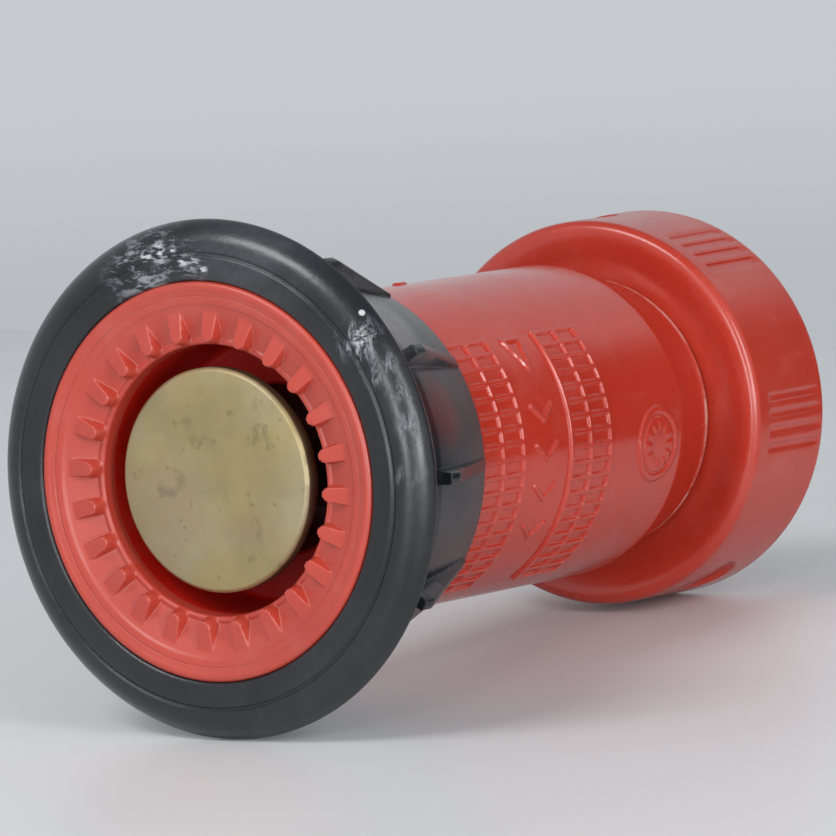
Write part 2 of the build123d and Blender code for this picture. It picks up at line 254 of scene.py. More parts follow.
class Material(Nodes):
    """One material's node tree around its shader."""

    def __init__(self, name):
        self.material = bpy.data.materials.new(name)
        self.material.use_nodes = True
        super().__init__(self.material.node_tree)
        output = self.add("ShaderNodeOutputMaterial")
        self.shader = self.add("ShaderNodeBsdfPrincipled")
        self.link(self.shader.outputs["BSDF"], output.inputs["Surface"])
        self.object_place = self.add("ShaderNodeTexCoord").outputs["Object"]

    def noise(self, scale, detail=4.0, roughness=0.55, stretch=None, turn=(0, 0, 0), distortion=0.0):
        """Noise whose features are about 1 / scale metres across."""
        node = self.add("ShaderNodeTexNoise")
        node.inputs["Scale"].default_value = scale
        node.inputs["Detail"].default_value = detail
        node.inputs["Roughness"].default_value = roughness
        node.inputs["Distortion"].default_value = distortion
        source = self.object_place
        if stretch:
            mapping = self.add("ShaderNodeMapping")
            mapping.inputs["Scale"].default_value = stretch
            mapping.inputs["Rotation"].default_value = turn
            self.link(source, mapping.inputs["Vector"])
            source = mapping.outputs["Vector"]
        self.link(source, node.inputs["Vector"])
        return node.outputs["Fac"]

    def clouded(self, value, dark, light):
        """Colour that drifts between two shades with a noise."""
        return self.mix(self.ramp(value, 0.3, 0.7), dark, light)

    def rounded(self, radius):
        """Normal that rounds sharp edges by a radius in metres."""
        bevel = self.add("ShaderNodeBevel", samples=6)
        bevel.inputs["Radius"].default_value = radius
        return bevel.outputs["Normal"]

    def edge_mask(self, rounded):
        """1 on sharp edges, where the rounded normal leans away from the plain one."""
        plain = self.add("ShaderNodeNewGeometry")
        dot = self.add("ShaderNodeVectorMath", operation="DOT_PRODUCT")
        self.link(rounded, dot.inputs[0])
        self.link(plain.outputs["Normal"], dot.inputs[1])
        return self.ramp(dot.outputs["Value"], 0.985, 0.86)

    def bump(self, height, distance, strength, normal=None):
        """Normal of fine roughness, laid over another normal where there is one."""
        node = self.add("ShaderNodeBump")
        node.inputs["Distance"].default_value = distance
        node.inputs["Strength"].default_value = strength
        self.link(height, node.inputs["Height"])
        if normal is not None:
            self.link(normal, node.inputs["Normal"])
        return node.outputs["Normal"]

    def further(self, start, end):
        """0 in front of one depth behind the mouth, 1 behind another and soft between."""
        split = self.add("ShaderNodeSeparateXYZ")
        self.link(self.object_place, split.inputs[0])
        return self.ramp(split.outputs["Y"], mouth_y + start * MM, mouth_y + end * MM)

    def near(self, spot, reach, core, strength):
        """A strength at a spot of the nozzle (radius, clock, depth) and 0 beyond the reach from it."""
        distance = self.add("ShaderNodeVectorMath", operation="DISTANCE")
        self.link(self.object_place, distance.inputs[0])
        distance.inputs[1].default_value = tuple(place(*spot))
        fade = self.ramp(distance.outputs["Value"], reach * MM, reach * MM * core)
        return self.times(fade, strength)

    def strongest(self, rows):
        """Strongest of several soft spots, each written as the values that near takes."""
        result = self.near(*rows[0])
        for row in rows[1:]:
            result = self.math("MAXIMUM", result, self.near(*row))
        return result

    def settings(self, values):
        """Plain numbers of the shader, straight on its sockets."""
        for socket, value in values.items():
            self.shader.inputs[socket].default_value = value

    def finish(self, colour, roughness, normal):
        """Lead the three results into the shader."""
        self.link(colour, self.shader.inputs["Base Color"])
        self.link(roughness, self.shader.inputs["Roughness"])
        self.link(normal, self.shader.inputs["Normal"])
        return self.material


# ---------------------------------------------------------------- materials

PINK_DUST = (0.75, 0.50, 0.45)
RUBBED_EDGE = (0.85, 0.30, 0.24)
PALE_RIM = (0.72, 0.50, 0.44)
RUBBER_BLACK = (0.007, 0.008, 0.010)
RUBBER_GREY = (0.015, 0.017, 0.020)
RUBBER_BLOOM = (0.10, 0.105, 0.11)
# Painted sheen grey for the roll's top.
RUBBER_PAINTED_SHEEN = (0.085, 0.09, 0.10)
# Painted sheen grey for the skirt's upper side.
SKIRT_PAINTED_SHEEN = (0.32, 0.30, 0.305)
SKIRT_REDDISH = (0.11, 0.009, 0.009)
# Grey of the scuffs, also painted on as a highlight streak on the roll's right.
SCUFF_AND_STREAK_GREY = (0.28, 0.30, 0.33)
SMEAR_WHITE = (0.62, 0.64, 0.67)
BRASS_BROWN = (0.35, 0.28, 0.15)
BRASS_GOLD = (0.43, 0.34, 0.16)
BRASS_BLOOM = (0.46, 0.42, 0.31)
BRASS_BLUSH = (0.40, 0.27, 0.17)
BRASS_SPOT = (0.14, 0.12, 0.07)
BRASS_FRECKLE = (0.12, 0.10, 0.06)
# Painted shade for the disc's side and rear.
BRASS_PAINTED_SHADE = (0.13, 0.09, 0.045)
# Painted highlight for the brass edges.
BRASS_EDGE_HIGHLIGHT = (0.88, 0.78, 0.50)

# The barrel's rear rim turns paler from the first of these distances to the end, fully from the second.
pale_rim_span = (2.1, 0.8)

# Marks, painted sheen and a painted highlight streak on the bumper.  Each has a spot (radius, clock, depth),
# a reach in millimetres, the share of that reach that is full, and a strength.
# Painted sheen: a pale patch on the roll's top in place of the key light's reflection.
painted_sheen_top = ((38.0, 18, 0.9), 17.0, 0.1, 1.0)
# Painted sheen: a pale patch on the skirt's upper side in place of its glossy highlight.
painted_skirt_sheen = ((32.6, 44, 18), 12.0, 0.3, 1.0)
# Reddish tint on the middle of the skirt.
reddish_skirt_patch = ((31.8, 73, 22), 8.5, 0.2, 0.75)
top_left_scuffs = (
    ((35.0, -15, 0), 10.0, 0.15, 0.85),
    ((34.0, -1, 0), 5.0, 0.1, 0.7),
)
# The first two spots are scuffs on the crease; the last four make a painted highlight streak along the
# roll's right.
right_scuffs_and_streak = (
    ((37.2, 54, 0.2), 5.0, 0.15, 0.95),
    ((36.9, 62, 0.2), 3.6, 0.1, 0.7),
    ((39.2, 62, 1.2), 2.7, 0.05, 0.5),
    ((39.0, 69, 1.2), 2.7, 0.05, 0.5),
    ((38.8, 77, 1.2), 2.7, 0.05, 0.5),
    ((37.2, 88, 1.2), 2.7, 0.05, 0.5),
)
white_smears = (
    ((37.5, 54, 0.3), 1.9, 0.1, 1.0),
    ((36.1, -13, 0), 1.8, 0.15, 1.0),
    ((36.3, -9.5, 0), 2.6, 0.15, 1.0),
    ((35.9, -6, 0), 1.6, 0.15, 1.0),
    ((34.5, -2, 0), 1.6, 0.15, 1.0),
    ((34.0, 1, 0), 1.6, 0.15, 1.0),
    ((33.0, 4, 0), 1.2, 0.15, 1.0),
)
white_dot = ((39.6, 49.3, 1.9), 0.62, 0.6, 1.0)


def red_plastic(name, fresh, deep, gloss, grain=0.35, shine=0.5, pale_rim_depth=None):
    """Moulded polycarbonate: clouded, dusty and finely scratched, with pale edges and maybe a paler rear
    rim.
    """
    m = Material(name)
    colour = m.clouded(m.noise(28, 3.0), deep, fresh)
    blotches = m.ramp(m.noise(70, 5.0, 0.65), 0.5, 0.78)
    colour = m.mix(m.times(blotches, 0.06), colour, PINK_DUST)
    normal = m.rounded(0.00025)
    rubbing = m.ramp(m.noise(420, 3.0), 0.35, 0.7, 0.15, 0.5)
    colour = m.mix(m.times(m.edge_mask(normal), rubbing), colour, RUBBED_EDGE)
    if pale_rim_depth:
        rim_noise = m.ramp(m.noise(160, 5.0, 0.7), 0.42, 0.62, 0.1, 0.75)
        pale_rim = m.times(m.further(pale_rim_depth - pale_rim_span[0], pale_rim_depth - pale_rim_span[1]), rim_noise)
        colour = m.mix(pale_rim, colour, PALE_RIM)
    patchy = m.ramp(m.noise(55, 5.0), 0.3, 0.75, gloss, gloss + 0.10)
    scratches = m.ramp(m.noise(900, 2.0, 0.5, stretch=(1.0, 0.06, 1.0)), 0.66, 0.72)
    rough = m.plus(patchy, m.times(scratches, 0.12))
    wave = m.plus(m.noise(130, 2.0), m.times(m.noise(1500, 2.0), 0.12))
    m.settings({
        "IOR": 1.62,
        "Specular IOR Level": shine,
        "Subsurface Weight": 0.12,
        "Subsurface Radius": (0.0025, 0.0006, 0.0004),
        "Subsurface Scale": 1.0,
    })
    return m.finish(colour, rough, m.bump(wave, 0.00012, grain, normal))


def bumper_rubber(name):
    """Moulded rubber with a soft gloss, scuffed and smeared where it has been dropped and handled, with
    painted sheen on the roll's top and the skirt, a painted highlight streak among the scuffs on the roll's
    right and a reddish patch on the skirt.
    """
    m = Material(name)
    colour = m.clouded(m.noise(45, 4.0), RUBBER_BLACK, RUBBER_GREY)
    bloom = m.ramp(m.noise(95, 6.0, 0.7), 0.52, 0.8)
    colour = m.mix(m.times(bloom, 0.12), colour, RUBBER_BLOOM)
    # Painted sheen on the roll's top, broken up by blotches.
    blotches = m.ramp(m.noise(240, 5.0, 0.7), 0.3, 0.7, 0.2, 0.5)
    colour = m.mix(m.times(m.near(*painted_sheen_top), blotches), colour, RUBBER_PAINTED_SHEEN)
    # Painted sheen on the skirt's upper side.
    skirt_sheen_breakup = m.ramp(m.noise(110, 5.0, 0.6), 0.3, 0.7, 0.35, 0.75)
    colour = m.mix(m.times(m.near(*painted_skirt_sheen), skirt_sheen_breakup), colour, SKIRT_PAINTED_SHEEN)
    # Reddish tint on the middle of the skirt.
    colour = m.mix(m.near(*reddish_skirt_patch), colour, SKIRT_REDDISH)

    streaks = m.noise(780, 7.0, 0.75, stretch=(0.3, 1.0, 1.0), turn=(0, 0.3, 0), distortion=0.6)
    top_left = m.times(m.strongest(top_left_scuffs), m.ramp(streaks, 0.50, 0.60))
    cross = m.noise(680, 7.0, 0.75, stretch=(1.0, 1.0, 0.3), turn=(0, 0.6, 0), distortion=0.5)
    # Scuffs and a painted highlight streak on the roll's right.
    right = m.times(m.strongest(right_scuffs_and_streak), m.ramp(cross, 0.49, 0.62))
    scuff_and_streak = m.math("MAXIMUM", top_left, right)
    colour = m.mix(scuff_and_streak, colour, SCUFF_AND_STREAK_GREY)
    ragged = m.noise(1500, 5.0, stretch=(0.4, 1.0, 1.0), turn=(0, 0.3, 0))
    smear = m.times(m.strongest(white_smears), m.ramp(ragged, 0.47, 0.60))
    smear = m.math("MAXIMUM", smear, m.near(*white_dot))
    colour = m.mix(m.times(smear, 0.8), colour, SMEAR_WHITE)

    rough = m.ramp(m.noise(60, 5.0), 0.3, 0.75, 0.22, 0.34)
    skirt = m.further(8.0, 13.0)
    rough = m.plus(rough, m.times(skirt, 0.04))
    rough = m.plus(rough, m.times(scuff_and_streak, 0.25))
    grain = m.plus(m.noise(700, 3.0), m.times(m.noise(140, 3.0), 1.4))
    grain = m.math("SUBTRACT", grain, m.times(scuff_and_streak, 1.2))
    m.settings({"Specular IOR Level": 0.55})
    return m.finish(colour, rough, m.bump(grain, 0.00012, 0.35, m.rounded(0.0004)))


def seal_rubber(name):
    """Plain seal rubber with a dusting of grease."""
    m = Material(name)
    colour = m.clouded(m.noise(150, 4.0), (0.016, 0.016, 0.017), (0.032, 0.031, 0.030))
    rough = m.ramp(m.noise(220, 4.0), 0.3, 0.75, 0.32, 0.55)
    return m.finish(colour, rough, m.bump(m.noise(1200, 3.0), 0.00005, 0.4, m.rounded(0.0002)))


def dull_brass(name):
    """Brass that has dulled: khaki and brown bloom and dark tarnish spots, with painted shade on its side
    and rear and a painted highlight on its edges.
    """
    m = Material(name)
    cloud = m.noise(75, 5.0, 0.6)
    colour = m.clouded(cloud, BRASS_BROWN, BRASS_GOLD)
    bloom = m.ramp(m.noise(45, 4.0, 0.6), 0.42, 0.66)
    colour = m.mix(m.times(bloom, 0.5), colour, BRASS_BLOOM)
    blush = m.ramp(m.noise(60, 3.0, 0.5), 0.50, 0.68)
    colour = m.mix(m.times(blush, 0.45), colour, BRASS_BLUSH)
    spots = m.ramp(m.noise(210, 3.0, 0.6), 0.60, 0.70)
    colour = m.mix(m.times(spots, 0.36), colour, BRASS_SPOT)
    freckles = m.ramp(m.noise(700, 2.0, 0.5), 0.68, 0.76)
    colour = m.mix(m.times(freckles, 0.3), colour, BRASS_FRECKLE)
    # Painted shade: the disc's side and rear darkened, where the ring shades them.
    behind = m.further(head_front + 0.5, head_front + 0.9)
    colour = m.mix(m.times(behind, 0.75), colour, BRASS_PAINTED_SHADE)
    normal = m.rounded(0.00018)
    # Painted highlight: pale gold laid on all sharp edges, which are also made glossier.
    edge_highlight = m.edge_mask(normal)
    colour = m.mix(edge_highlight, colour, BRASS_EDGE_HIGHLIGHT)
    rough = m.ramp(cloud, 0.3, 0.75, 0.40, 0.58)
    rough = m.math("SUBTRACT", rough, m.times(edge_highlight, 0.15))
    m.settings({"Metallic": 0.8})
    return m.finish(colour, rough, m.bump(m.noise(1800, 2.0), 0.00003, 0.5, normal))


def stainless(name):
    """Plain stainless steel, slightly rubbed."""
    m = Material(name)
    colour = m.clouded(m.noise(200, 4.0), (0.45, 0.45, 0.44), (0.60, 0.60, 0.59))
    rough = m.ramp(m.noise(400, 3.0), 0.3, 0.7, 0.25, 0.42)
    m.settings({"Metallic": 1.0})
    return m.finish(colour, rough, m.bump(m.noise(2500, 2.0), 0.00002, 0.4, m.rounded(0.0001)))


def table_paint(name):
    """Pale painted table top with faint smudges."""
    m = Material(name)
    colour = m.clouded(m.noise(3.0, 3.0), (0.76, 0.775, 0.785), (0.79, 0.805, 0.815))
    rough = m.ramp(m.noise(8.0, 3.0), 0.3, 0.7, 0.38, 0.50)
    return m.finish(colour, rough, m.bump(m.noise(400, 2.0), 0.0002, 0.1))


barrel_plastic = red_plastic(
    "barrel_polycarbonate", fresh=(0.49, 0.034, 0.016), deep=(0.43, 0.027, 0.012), gloss=0.13,
    pale_rim_depth=barrel_depth,
)
ring_plastic = red_plastic(
    "ring_polycarbonate", fresh=(0.46, 0.048, 0.028), deep=(0.41, 0.040, 0.023), gloss=0.33,
)
# A deeper, more saturated red copy of the barrel's plastic for the bore: painted shade for the inside.
bore_shade_plastic = red_plastic(
    "bore_polycarbonate_painted_shade", fresh=(0.52, 0.011, 0.004), deep=(0.46, 0.008, 0.003), gloss=0.40, shine=0.25,
)
coupling_plastic = red_plastic(
    "coupling_polycarbonate", fresh=(0.46, 0.037, 0.019), deep=(0.41, 0.030, 0.015), gloss=0.20, grain=0.5,
)
rubber = bumper_rubber("bumper_rubber")
seals = seal_rubber("seal_rubber")
brass = dull_brass("dull_brass")
steel = stainless("stainless_steel")


# ------------------------------------------------------------------- barrel

barrel_front = 36.3
barrel_front_radius = 26.21
barrel_taper = 0.01425
panel_sides = (0, 180)
panel_first_clock = 48.5
cell_angle = 5.5
cell_count = 18
rib_half_angle = 1.12
rib_half_width = 0.56
rib_height = 0.45
rib_soft = 0.26
ribs_in_band = 3
band_step = 6.1
band_fronts = (39.6, 66.3)
mark_height = 0.4
marks_depth = 58.8
stroke_half_width = 0.5
stroke_soft = 0.22
triangle_clock = 55.5
triangle_corners = ((-2.6, -2.4), (2.9, 0.6), (-2.6, 2.4))
chevron_clocks = (78, 92, 106.5, 121.5)
chevron_point = (1.2, 0)
chevron_ends = ((-1.2, -3.0), (-1.2, 3.0))
pad_clock = 96.5
pad_depth = 94.0
pad_radius = 6.7
pad_groove_radius = 5.0
pad_groove_deep = 0.8
tick_count = 12
tick_middle = 3.3
tick_half_length = 0.9
pip_clock = -4
pip_depth = 61.0
lip_face_depth = 1.0
shoulder_depth = 101.6
neck_depth = 105.4
neck_radius = 26.25


def barrel_radius(depth):
    """Outside of the barrel, which widens slightly from the bumper to the shoulder."""
    return barrel_front_radius + (depth - barrel_front) * barrel_taper


def grip_relief(clock, depth):
    """Height of the two grip bands: ribs round and along the barrel with open cells between."""
    relief = np.zeros_like(clock)
    panel = cell_count * cell_angle
    for side in panel_sides:
        along = around(clock, panel_first_clock + side + panel / 2)
        inside = box_step(along, panel / 2 + rib_half_angle, 0.4)
        cell_place = (along + panel / 2 + cell_angle / 2) % cell_angle - cell_angle / 2
        axial = box_step(cell_place, rib_half_angle, 0.5)
        for front in band_fronts:
            in_band = box_step(depth - front - band_step, band_step + rib_half_width, rib_soft)
            relief = np.maximum(relief, inside * in_band * axial * rib_height)
            for line in range(ribs_in_band):
                round_rib = box_step(depth - front - line * band_step, rib_half_width, rib_soft)
                relief = np.maximum(relief, inside * round_rib * rib_height)
    return relief


def marks_relief(clock, depth):
    """Height of the opening marks, the round pad and the index pip."""
    relief = np.zeros_like(clock)

    def across(middle):
        """Distance round the barrel from a middle clock angle."""
        return np.radians(around(clock, middle)) * barrel_radius(depth)

    y = depth - marks_depth
    for side in panel_sides:
        x = across(triangle_clock + side)
        for start, end in zip(triangle_corners, triangle_corners[1:] + triangle_corners[:1]):
            stroke = stroke_step(x, y, start, end, stroke_half_width, stroke_soft)
            relief = np.maximum(relief, stroke)
        for chevron in chevron_clocks:
            x = across(chevron + side)
            for end in chevron_ends:
                stroke = stroke_step(x, y, chevron_point, end, stroke_half_width, stroke_soft)
                relief = np.maximum(relief, stroke)
    x, y = across(pad_clock), depth - pad_depth
    distance = np.hypot(x, y)
    pad = smooth(pad_radius - distance, 0.0, 0.5)
    pad = pad - pad_groove_deep * box_step(distance - pad_groove_radius, 0.45, 0.35)
    ticks = smooth(np.cos(np.arctan2(x, y) * tick_count), 0.1, 0.7)
    pad = pad + 0.5 * ticks * box_step(distance - tick_middle, tick_half_length, 0.35)
    pip = box_step(across(pip_clock), 0.9, 0.3) * box_step(depth - pip_depth, 1.2, 0.3)
    return np.maximum(np.maximum(relief, pad), pip) * mark_height


def barrel_clocks():
    """Clock angles of the grip cells' ribs and of the pip."""
    across_pip = (-2.2, -1.9, -1.2, 0, 1.2, 1.9, 2.2)
    across_cell = (-1.15, -0.9, -0.6, 0, 0.6, 0.9, 1.15, 1.7, 2.2, 2.75, 3.3, 3.8)
    lines = [pip_clock + offset for offset in across_pip]
    for side in panel_sides:
        for index in range(cell_count + 1):
            middle = panel_first_clock + side + index * cell_angle
            lines += [middle + offset for offset in across_cell]
    return lines


def barrel_rows():
    """Depths of the rings of points along the barrel's outside."""
    across_rib = (-0.58, -0.46, -0.32, 0, 0.32, 0.46, 0.58, 1.8, 3.05, 4.3)
    rows = []
    for front in band_fronts:
        for line in range(ribs_in_band):
            rows += [front + line * band_step + offset for offset in across_rib]
    rows += list(np.arange(marks_depth - 4.2, marks_depth + 4.3, 0.24))
    rows += list(np.arange(pad_depth - 7.2, pad_depth + 7.3, 0.33))
    rows += list(np.arange(13.4, 38.0, 4.0)) + [81.0, 84.0]
    return sorted(row for row in rows if row < shoulder_depth - 0.3)


def make_barrel():
    """Barrel that the firefighter turns, open right through, with the ring's plastic on its lip and a deeper
    red copy of its plastic on the bore as painted shade.
    """
    screw_bore, slide_bore, o_ring_groove, throat = 21.0, 20.3, 22.4, 13.5
    tail_start = (23.9, barrel_depth - 1.5)
    lip = [(ring_radius, lip_edge), (29.6, 0.2)]
    lip += arc((29.75, 0.14), (30.35, 0.0), (lip_radius, 0.5), 10)
    body = [(barrel_radius(depth), depth) for depth in barrel_rows()]
    shoulder = arc(
        (barrel_radius(shoulder_depth), shoulder_depth), (26.85, 103.2), (neck_radius, neck_depth), 9,
    )
    tail = rows_between((neck_radius, neck_depth), tail_start, 3.0)
    rim = arc(tail_start, (23.72, barrel_depth - 0.35), (23.2, barrel_depth), 6)
    screw = [(21.5, barrel_depth), (screw_bore, barrel_depth - 1.0)]
    screw += rows_between((screw_bore, 100.0), (screw_bore, 65.5), 12.0)
    slide = [
        (slide_bore, 64.8), (slide_bore, 63.0), (o_ring_groove, 63.0), (o_ring_groove, 60.0),
        (slide_bore, 60.0), (slide_bore, 57.0), (o_ring_groove, 57.0), (o_ring_groove, 54.0),
        (slide_bore, 54.0), (slide_bore, 42.0), (slide_bore, 31.0), (19.4, 29.2),
    ]
    seat = [(throat, 25.0), (throat, 21.0), (14.0, 20.5), (20.0, 20.5)]
    seat += arc((20.0, 20.5), (20.85, 20.15), (bore_radius, 19.3), 6)
    mouth = [(bore_radius, 12.0), (bore_radius, ring_back), (28.9, ring_back)]
    profile = outline(lip, lip_groove, body, shoulder, tail, rim, screw, slide, seat, mouth)
    radius, clock, depth = point_table(profile, clocks(barrel_clocks(), 2.0))
    outside = (radius > 25.5) & (depth > 38.0) & (depth < shoulder_depth - 0.2)
    relief = np.maximum(grip_relief(clock, depth), marks_relief(clock, depth))
    points = place(radius + np.where(outside, relief, 0.0), clock, depth)
    piece = sheet_of_quads("barrel_shell", points, barrel_plastic)
    piece.data.materials.append(ring_plastic)
    piece.data.materials.append(bore_shade_plastic)
    for face in piece.data.polygons:
        if face.center.y < mouth_y + lip_face_depth * MM:
            face.material_index = 1
        # Bore faces take the deeper red copy, painted shade.
        elif math.hypot(face.center.x, face.center.z) < (bore_radius + 0.5) * MM:
            face.material_index = 2
    return piece


# ----------------------------------------------------------------- fog ring

tooth_count = 24
tooth_first_clock = 4.5
tooth_half_width = 1.5
tooth_nose = 21.35
tooth_level = 0.55
tooth_slope = 0.15
tooth_row_limit = 3.5
rim_inner = 27.4
rim_foot = 0.93
cone_back = 3.1


def make_fog_ring():
    """Toothed ring: a rim, a cone behind it and finger-shaped teeth that fade into the cone."""
    bead_foot = bore_radius + 1.1
    rim = [(ring_radius - 0.04, lip_edge + 0.02), (28.4, 0.52)]
    rim += arc((27.95, 0.62), (27.65, 0.74), (rim_inner, rim_foot), 6)
    cone_slope = (cone_back - rim_foot) / (rim_inner - bead_foot)
    radii = list(np.arange(27.2, 23.7, -0.35)) + list(np.arange(23.65, bead_foot, -0.15))
    cone = [(radius, rim_foot + (rim_inner - radius) * cone_slope) for radius in radii]
    bead = arc((bead_foot - 0.05, 3.06), (bore_radius + 0.55, 2.86), (bore_radius, 3.55), 9)
    profile = outline(
        rim, cone, (bead_foot, cone_back), bead, (bore_radius, 4.8), (bore_radius, ring_back),
        (25.0, ring_back), (ring_radius, ring_back), (ring_radius, lip_edge + 0.04),
    )
    half = [1.54, 1.47, 1.38, 1.28, 1.17, 1.04, 0.85, 0.45]
    across = [-x for x in half] + [0] + half[::-1]
    gap = 360 / tooth_count
    radius_rows, clock_rows, depth_rows = [], [], []
    for row_radius, row_depth in profile:
        half_tooth = math.degrees(across[-1] / row_radius)
        open_lines = np.linspace(half_tooth, gap - half_tooth, 6)[1:-1]
        offsets = [(x, math.degrees(x / row_radius)) for x in across]
        offsets += [(across[-1] + 1.0, angle) for angle in open_lines]
        beyond_nose = tooth_nose + tooth_half_width - row_radius
        top = tooth_level + max(0.0, row_radius - tooth_nose) * tooth_slope
        height = max(0.0, row_depth - top) if row_depth < tooth_row_limit else 0.0
        clock, depth = [], []
        for index in range(tooth_count):
            middle = tooth_first_clock + index * gap
            for x, angle in offsets:
                inside = tooth_half_width - math.hypot(x, max(0.0, beyond_nose))
                rise = height * float(smooth(inside, 0.0, 0.2 + 0.14 * height))
                clock.append(middle + angle)
                depth.append(row_depth - rise)
        radius_rows.append([row_radius] * len(clock))
        clock_rows.append(clock)
        depth_rows.append(depth)
    points = place(np.array(radius_rows), np.array(clock_rows), np.array(depth_rows))
    return sheet_of_quads("fog_ring_teeth", points, ring_plastic, 50.0)


# ------------------------------------------------------------------- bumper

lug_count = 11
lug_first_clock = 25.5
lug_half_width = 1.1
lug_front = (36.8, 16.6)
lug_back = (29.85, 34.8)
skirt_inner = 28.7
skirt_front = 13.0


def lug_top(depth):
    """Radius of a lug's top edge."""
    fall = (lug_back[0] - lug_front[0]) * max(0.0, depth - lug_front[1]) / (lug_back[1] - lug_front[1])
    return (lug_front[0] + fall) * smooth(depth, 13.6, 14.1) * (1 - smooth(depth, 34.9, 35.3))


def make_bumper():
    """Rubber bumper: a roll round the mouth, and a skirt with narrow lugs behind it."""
    crease_start = (34.8, -0.14)
    roll_outer = (bumper_radius - 0.02, 3.8)
    neck_start = (36.6, 8.5)
    skirt_start, skirt_end = (33.3, 13.4), (28.94, 36.0)
    front_band = arc((lip_radius + 0.5, 0.2), (33.3, -0.06), crease_start, 8)
    crease = arc(crease_start, (35.05, -0.02), (35.2, 0.2), 5) + [(35.5, 0.24)]
    roll = arc((35.8, -0.04), (38.75, 1.15), roll_outer, 16)
    back = arc(roll_outer, (39.3, 5.95), neck_start, 12)
    neck = arc(neck_start, (34.3, 10.6), skirt_start, 12)
    lug_starts = rows_between((33.17, 13.9), (32.7, 16.4), 0.2)
    skirt = [row for row in arc(skirt_start, (31.5, 25.0), skirt_end, 26) if 16.6 < row[1] < 34.6]
    lug_ends = rows_between((29.26, 34.8), skirt_end, 0.1)
    end = [(28.8, skirt_depth - 0.05), (28.5, skirt_depth)]
    inside = [(barrel_radius(depth), depth) for depth in (skirt_depth, 25.0, 13.4)]
    profile = outline(
        front_band, crease, roll, back, neck, lug_starts, skirt, lug_ends, end, inside,
        lip_groove[::-1], (lip_radius, 0.9), (lip_radius + 0.15, 0.45),
    )
    across = (-1.4, -1.12, -1.0, -0.85, -0.6, 0, 0.6, 0.85, 1.0, 1.12, 1.4)
    gap = 360 / lug_count
    radius_rows, clock_rows, depth_rows = [], [], []
    for row_radius, row_depth in profile:
        half_lug = math.degrees(across[-1] / row_radius)
        open_lines = np.linspace(half_lug, gap - half_lug, 13)[1:-1]
        outer = row_radius > skirt_inner and row_depth > skirt_front
        rise = max(0.0, float(lug_top(row_depth)) - row_radius) if outer else 0.0
        radius, clock = [], []
        for index in range(lug_count):
            middle = lug_first_clock + index * gap
            for x in across:
                step = float(smooth(lug_half_width - abs(x), 0.0, 0.3))
                radius.append(row_radius + rise * step)
                clock.append(middle + math.degrees(x / row_radius))
            radius += [row_radius] * len(open_lines)
            clock += [middle + angle for angle in open_lines]
        radius_rows.append(radius)
        clock_rows.append(clock)
        depth_rows.append([row_depth] * len(clock))
    points = place(np.array(radius_rows), np.array(clock_rows), np.array(depth_rows))
    return sheet_of_quads("bumper_roll", points, rubber, 50.0)


# --------------------------------------------------------------- brass head

def make_head():
    """Brass disc with a small bevel, a bore for the stem and a recess for the shut-off seal."""
    axis_gap, stem_bore, cover = 0.02, 4.0, 1.8
    seal_inner, seal_outer = 11.0, 15.3
    floor, seal_floor = head_front + cover, head_back - 1.8
    bevel = [
        (head_radius - 0.62, head_front), (head_radius - 0.5, head_front + 0.04),
        (head_radius - 0.06, head_front + 0.5), (head_radius, head_front + 0.62),
    ]
    profile = outline(
        (stem_bore, floor), (axis_gap, floor), (axis_gap, head_front), (6.0, head_front),
        (12.0, head_front), bevel, (head_radius, head_front + 1.5), (head_radius, head_front + 2.35),
        (16.2, head_back - 0.2), (seal_outer, head_back - 0.2), (seal_outer, seal_floor),
        (seal_inner, seal_floor), (seal_inner, head_back), (stem_bore, head_back),
    )
    radius, clock, depth = point_table(profile, clocks([0], 2.0))
    return sheet_of_quads("brass_head", place(radius, clock, depth), brass)


# ------------------------------------------------------------- inlet base

# Heights here are measured from the inlet's face towards the mouth.
groove_clocks = (35.2, 93.5, 215.2, 273.5)
groove_spots = (-1.5, -0.5, 0.5, 1.5)
groove_spacing = 4.9
groove_half_angle = 1.45
groove_deep = 0.3
recess_clocks = (-8, 152)
recess_radius = 5.6
recess_floor = 33.5
recess_height = 11.5
thread_pitch = 25.4 / 9
thread_crest = 23.9
thread_root = 25.4
thread_end = 12.4
thread_half_groove = 0.33
screw_lead = 16.0
screw_starts = 3
screw_middle = 50.5
screw_half_length = 19.6
screw_root = 19.2
ridge_half_width = 1.1
ridge_height = 1.5
coupling_narrowing = 0.75
coupling_height = 23.3
side_inner = 33.0
side_end = 22.0


def coupling_side(height):
    """Outside of the coupling, which narrows slightly towards the barrel."""
    return coupling_radius - coupling_narrowing * height / coupling_height


def groove_middles():
    """Clock angle of every grip groove in the coupling."""
    return [group + spot * groove_spacing for group in groove_clocks for spot in groove_spots]


def groove_relief(clock, height):
    """Depth of the shallow axial grip grooves in the coupling."""
    relief = np.zeros_like(clock)
    for middle in groove_middles():
        relief = np.maximum(relief, box_step(around(clock, middle), groove_half_angle + 0.1, 0.8))
    return relief * smooth(19.0 - height, 0.0, 0.7) * smooth(height, 1.8, 2.6) * groove_deep


def recess_relief(radius, clock, height):
    """Outside radius with the flat-floored spanner recesses taken out."""
    for middle in recess_clocks:
        angle = np.radians(around(clock, middle))
        x = radius * np.sin(angle)
        distance = np.hypot(x, height - recess_height)
        near_side = np.abs(around(clock, middle)) < 20
        floor = recess_floor / np.cos(np.where(near_side, angle, 0.0))
        sunk = smooth(recess_radius - distance, -0.05, 0.7) * near_side
        radius = radius + (np.minimum(floor, radius) - radius) * sunk
    return radius


def thread_relief(clock, height):
    """Depth of the right-handed hose thread's groove."""
    phase = (height / thread_pitch + clock / 360) % 1.0
    wedge = np.clip(1 - np.abs(phase - 0.5) / thread_half_groove, 0, 1)
    return wedge * (thread_root - thread_crest)


